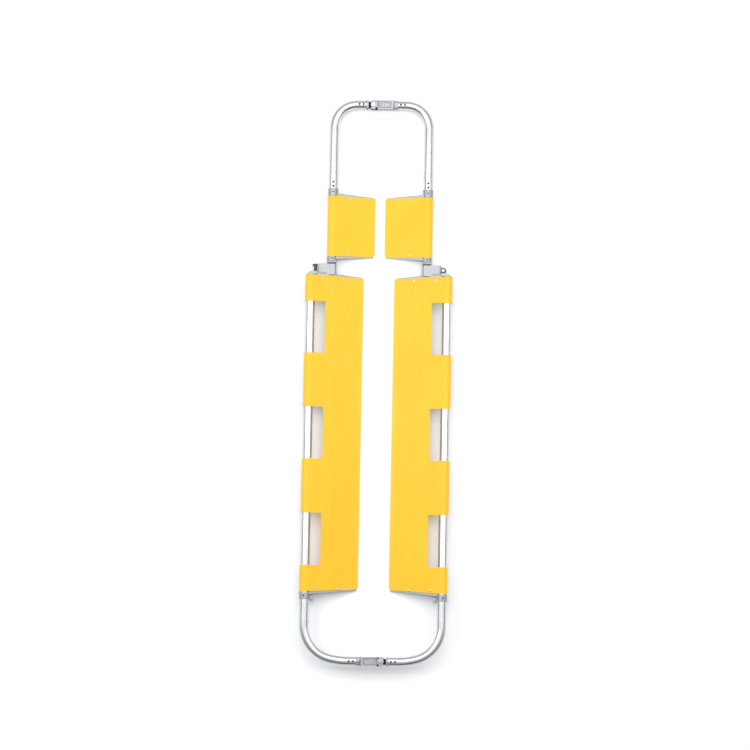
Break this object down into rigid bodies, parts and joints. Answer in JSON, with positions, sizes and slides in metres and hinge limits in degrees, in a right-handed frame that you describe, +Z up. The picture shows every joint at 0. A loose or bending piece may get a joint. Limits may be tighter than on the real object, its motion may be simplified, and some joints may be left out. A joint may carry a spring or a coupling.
{
  "type": "scoop stretcher",
  "caption": "Two-piece patient lifting stretcher with sloping scoop blades on tube frames, a lengthening and folding foot section, and a release coupling at each end.",
  "frame": {"origin": "on the ground, at the middle of the width and of the length", "axes": "+Y towards the foot end, +X to the right seen from above with the foot end up, +Z up"},
  "size_m": [0.44, 1.7004, 0.0625],
  "materials": {
    "tube_silver": "clear anodised, drawn along the tube, satin with fine lengthwise lines",
    "cast_alloy": "shot-blasted die casting, satin",
    "blade_yellow": "ribbed sheet with smooth yellow powder coat, semi-gloss",
    "steel": "zinc plated, bright",
    "lever_plastic": "moulded, fine grain",
    "nylon": "natural nylon, smooth"
  },
  "bodies": {
    "left_half": {"left_side_rail": "tube_silver", "left_main_blade": "blade_yellow", "left_head_bracket": "cast_alloy", "left_slide_housing": "cast_alloy", "left_guide_bush": "nylon", "left_lock_spring": "steel", "left_rivet_1": "steel", "left_rivet_2": "steel", "left_rivet_3": "steel", "left_rivet_4": "steel", "head_coupler_tongue": "cast_alloy"},
    "left_slide": {"left_slide_tube": "tube_silver", "left_slide_stop": "nylon", "left_slide_end": "cast_alloy", "left_fold_pin": "steel"},
    "left_foot": {"left_near_bracket": "cast_alloy", "left_foot_side_tube": "tube_silver", "left_foot_blade": "blade_yellow", "left_far_bracket": "cast_alloy", "left_foot_loop_tube": "tube_silver", "left_leg_spigot": "tube_silver", "left_rivet_5": "steel", "left_rivet_6": "steel", "foot_coupler_body": "cast_alloy", "foot_coupler_clevis": "cast_alloy", "foot_coupler_pivot": "steel", "foot_release_spring": "steel"},
    "left_lock_lever": {"left_lock_lever": "lever_plastic"},
    "left_lock_plunger": {"left_lock_plunger": "steel"},
    "right_half": {"right_side_rail": "tube_silver", "right_main_blade": "blade_yellow", "right_head_bracket": "cast_alloy", "right_slide_housing": "cast_alloy", "right_guide_bush": "nylon", "right_lock_spring": "steel", "right_rivet_1": "steel", "right_rivet_2": "steel", "right_rivet_3": "steel", "right_rivet_4": "steel", "head_coupler_clevis": "cast_alloy"},
    "right_slide": {"right_slide_tube": "tube_silver", "right_slide_stop": "nylon", "right_slide_end": "cast_alloy", "right_fold_pin": "steel"},
    "right_foot": {"right_near_bracket": "cast_alloy", "right_foot_side_tube": "tube_silver", "right_foot_blade": "blade_yellow", "right_far_bracket": "cast_alloy", "right_foot_loop_tube": "tube_silver", "right_leg_spigot": "tube_silver", "right_rivet_5": "steel", "right_rivet_6": "steel", "foot_coupler_tongue": "cast_alloy"},
    "right_lock_lever": {"right_lock_lever": "lever_plastic"},
    "right_lock_plunger": {"right_lock_plunger": "steel"},
    "head_coupler": {"head_coupler_body": "cast_alloy", "head_coupler_pivot": "steel", "head_release_spring": "steel"},
    "head_release": {"head_release_lever": "cast_alloy"},
    "foot_release": {"foot_release_lever": "cast_alloy"}
  },
  "joints": [
    {"name": "head_pull_apart", "type": "slide", "parent": "left_half", "child": "head_coupler", "axis": [1, 0, 0], "range_m": [0, 0.12]},
    {"name": "jaw_open", "type": "hinge", "parent": "head_coupler", "child": "right_half", "pos_m": [0.0275, -0.8365, 0.043], "axis": [0, 0, -1], "range_deg": [0, 45]},
    {"name": "length_extend", "type": "slide", "parent": "left_half", "child": "left_slide", "axis": [0, 1, 0], "range_m": [0, 0.36]},
    {"name": "right_length_extend", "type": "slide", "parent": "right_half", "child": "right_slide", "axis": [0, 1, 0], "range_m": [0, 0.36]},
    {"name": "foot_fold", "type": "hinge", "parent": "left_slide", "child": "left_foot", "pos_m": [0, 0.356, 0.045], "axis": [1, 0, 0], "range_deg": [0, 180]},
    {"name": "right_foot_fold", "type": "hinge", "parent": "right_slide", "child": "right_foot", "pos_m": [0, 0.356, 0.045], "axis": [1, 0, 0], "range_deg": [0, 180]},
    {"name": "left_lock_turn", "type": "hinge", "parent": "left_half", "child": "left_lock_lever", "pos_m": [-0.1913, 0.331, 0.018], "axis": [1, 0, 0], "range_deg": [0, 75]},
    {"name": "left_lock_draw", "type": "slide", "parent": "left_half", "child": "left_lock_plunger", "axis": [-1, 0, 0], "range_m": [0, 0.00125], "deforming": ["left_lock_spring"]},
    {"name": "right_lock_turn", "type": "hinge", "parent": "right_half", "child": "right_lock_lever", "pos_m": [0.1913, 0.331, 0.018], "axis": [1, 0, 0], "range_deg": [-75, 0]},
    {"name": "right_lock_draw", "type": "slide", "parent": "right_half", "child": "right_lock_plunger", "axis": [1, 0, 0], "range_m": [-0.00125, 0], "deforming": ["right_lock_spring"]},
    {"name": "foot_release_press", "type": "hinge", "parent": "left_foot", "child": "foot_release", "pos_m": [0.006, 0.837, 0.0289], "axis": [0, -1, 0], "range_deg": [0, 6], "stiffness_Nm_per_rad": 1, "springref_deg": -5.73, "deforming": ["foot_release_spring"]},
    {"name": "head_release_press", "type": "hinge", "parent": "head_coupler", "child": "head_release", "pos_m": [-0.006, -0.8365, 0.0539], "axis": [0, 1, 0], "range_deg": [0, 6], "stiffness_Nm_per_rad": 1, "springref_deg": -5.73, "deforming": ["head_release_spring"]}
  ],
  "couplings": [
    {"joint": "right_length_extend", "follows": "length_extend", "ratio": 1},
    {"joint": "right_foot_fold", "follows": "foot_fold", "ratio": 1},
    {"joint": "left_lock_turn", "follows": "left_lock_draw", "rad_per_m": 1047.2},
    {"joint": "right_lock_turn", "follows": "right_lock_draw", "rad_per_m": 1047.2}
  ]
}
